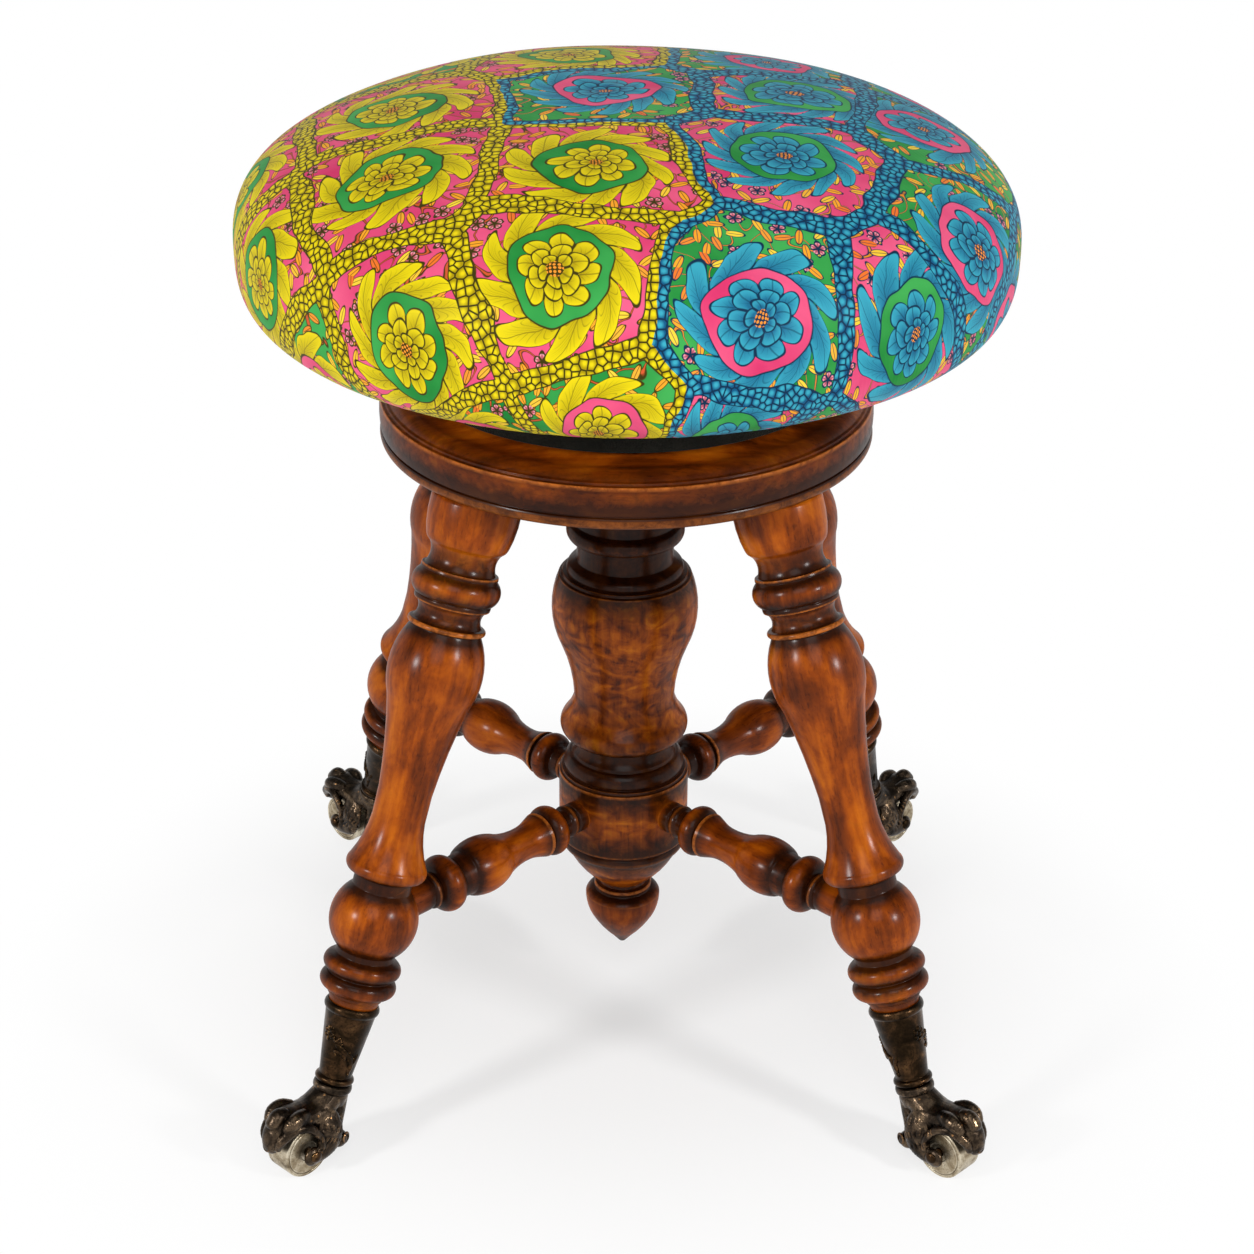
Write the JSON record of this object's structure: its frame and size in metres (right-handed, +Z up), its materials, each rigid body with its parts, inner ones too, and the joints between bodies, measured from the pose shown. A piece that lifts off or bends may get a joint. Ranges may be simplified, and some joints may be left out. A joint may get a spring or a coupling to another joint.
{
  "type": "revolving piano stool",
  "caption": "Round stuffed seat on a screw spindle over a turned wooden plate, with a turned column, splayed legs, stretchers and metal paws that hold small wheels.",
  "frame": {"origin": "on the floor, on the spindle's axis", "axes": "+Z up along the spindle, -Y towards the viewer of the picture, legs on the diagonals between X and Y"},
  "size_m": [0.3948, 0.397, 0.534],
  "materials": {
    "walnut": "gloss varnish, worn",
    "burr_walnut": "gloss varnish over figured wood, worn",
    "raw_wood": "bare",
    "printed_cloth": "smooth printed cotton with a slight sheen",
    "wadding": "soft",
    "black_cloth": "napped",
    "dark_bronze": "dark patina, worn bright on edges",
    "black_iron": "blackened, worn on high spots",
    "grey_metal": "bare and pitted",
    "old_iron": "oiled"
  },
  "bodies": {
    "base": {"base_plate": "walnut", "column": "burr_walnut", "finial": "walnut", "spindle_nut": "old_iron", "nut_screw_1": "old_iron", "nut_screw_2": "old_iron", "nut_screw_3": "old_iron", "leg_back_left": "walnut", "stretcher_back_left": "walnut", "ferrule_back_left": "dark_bronze", "ferrule_screw_back_left": "dark_bronze", "paw_back_left": "black_iron", "axle_back_left": "dark_bronze", "leg_front_left": "walnut", "stretcher_front_left": "walnut", "ferrule_front_left": "dark_bronze", "ferrule_screw_front_left": "dark_bronze", "paw_front_left": "black_iron", "axle_front_left": "dark_bronze", "leg_front_right": "walnut", "stretcher_front_right": "walnut", "ferrule_front_right": "dark_bronze", "ferrule_screw_front_right": "dark_bronze", "paw_front_right": "black_iron", "axle_front_right": "dark_bronze", "leg_back_right": "walnut", "stretcher_back_right": "walnut", "ferrule_back_right": "dark_bronze", "ferrule_screw_back_right": "dark_bronze", "paw_back_right": "black_iron", "axle_back_right": "dark_bronze"},
    "washer": {"thrust_washer": "old_iron"},
    "seat": {"spindle": "old_iron", "spindle_pin": "old_iron", "seat_spider": "black_iron", "seat_block": "raw_wood", "block_cloth": "black_cloth", "seat_board": "raw_wood", "seat_padding": "wadding", "seat_cover": "printed_cloth", "spider_screw_1": "old_iron", "spider_screw_2": "old_iron", "spider_screw_3": "old_iron", "spider_screw_4": "old_iron"},
    "wheel_back_left": {"wheel_back_left": "grey_metal"},
    "wheel_front_left": {"wheel_front_left": "grey_metal"},
    "wheel_front_right": {"wheel_front_right": "grey_metal"},
    "wheel_back_right": {"wheel_back_right": "grey_metal"}
  },
  "joints": [
    {"name": "seat_turn", "type": "hinge", "parent": "base", "child": "washer", "pos_m": [0, 0, 0.38172], "axis": [0, 0, 1], "range_deg": [0, 5760]},
    {"name": "seat_lift", "type": "slide", "parent": "washer", "child": "seat", "axis": [0, 0, 1], "range_m": [0, 0.096]},
    {"name": "wheel_roll_back_left", "type": "hinge", "parent": "base", "child": "wheel_back_left", "pos_m": [-0.1709, 0.1709, 0.01471], "axis": [-0.7071, -0.7071, 0], "continuous": true},
    {"name": "wheel_roll_front_left", "type": "hinge", "parent": "base", "child": "wheel_front_left", "pos_m": [-0.1709, -0.1709, 0.01471], "axis": [0.7071, -0.7071, 0], "continuous": true},
    {"name": "wheel_roll_front_right", "type": "hinge", "parent": "base", "child": "wheel_front_right", "pos_m": [0.1709, -0.1709, 0.01471], "axis": [0.7071, 0.7071, 0], "continuous": true},
    {"name": "wheel_roll_back_right", "type": "hinge", "parent": "base", "child": "wheel_back_right", "pos_m": [0.1709, 0.1709, 0.01471], "axis": [-0.7071, 0.7071, 0], "continuous": true}
  ],
  "couplings": [
    {"joint": "seat_lift", "follows": "seat_turn", "m_per_rad": 0.00095492}
  ]
}
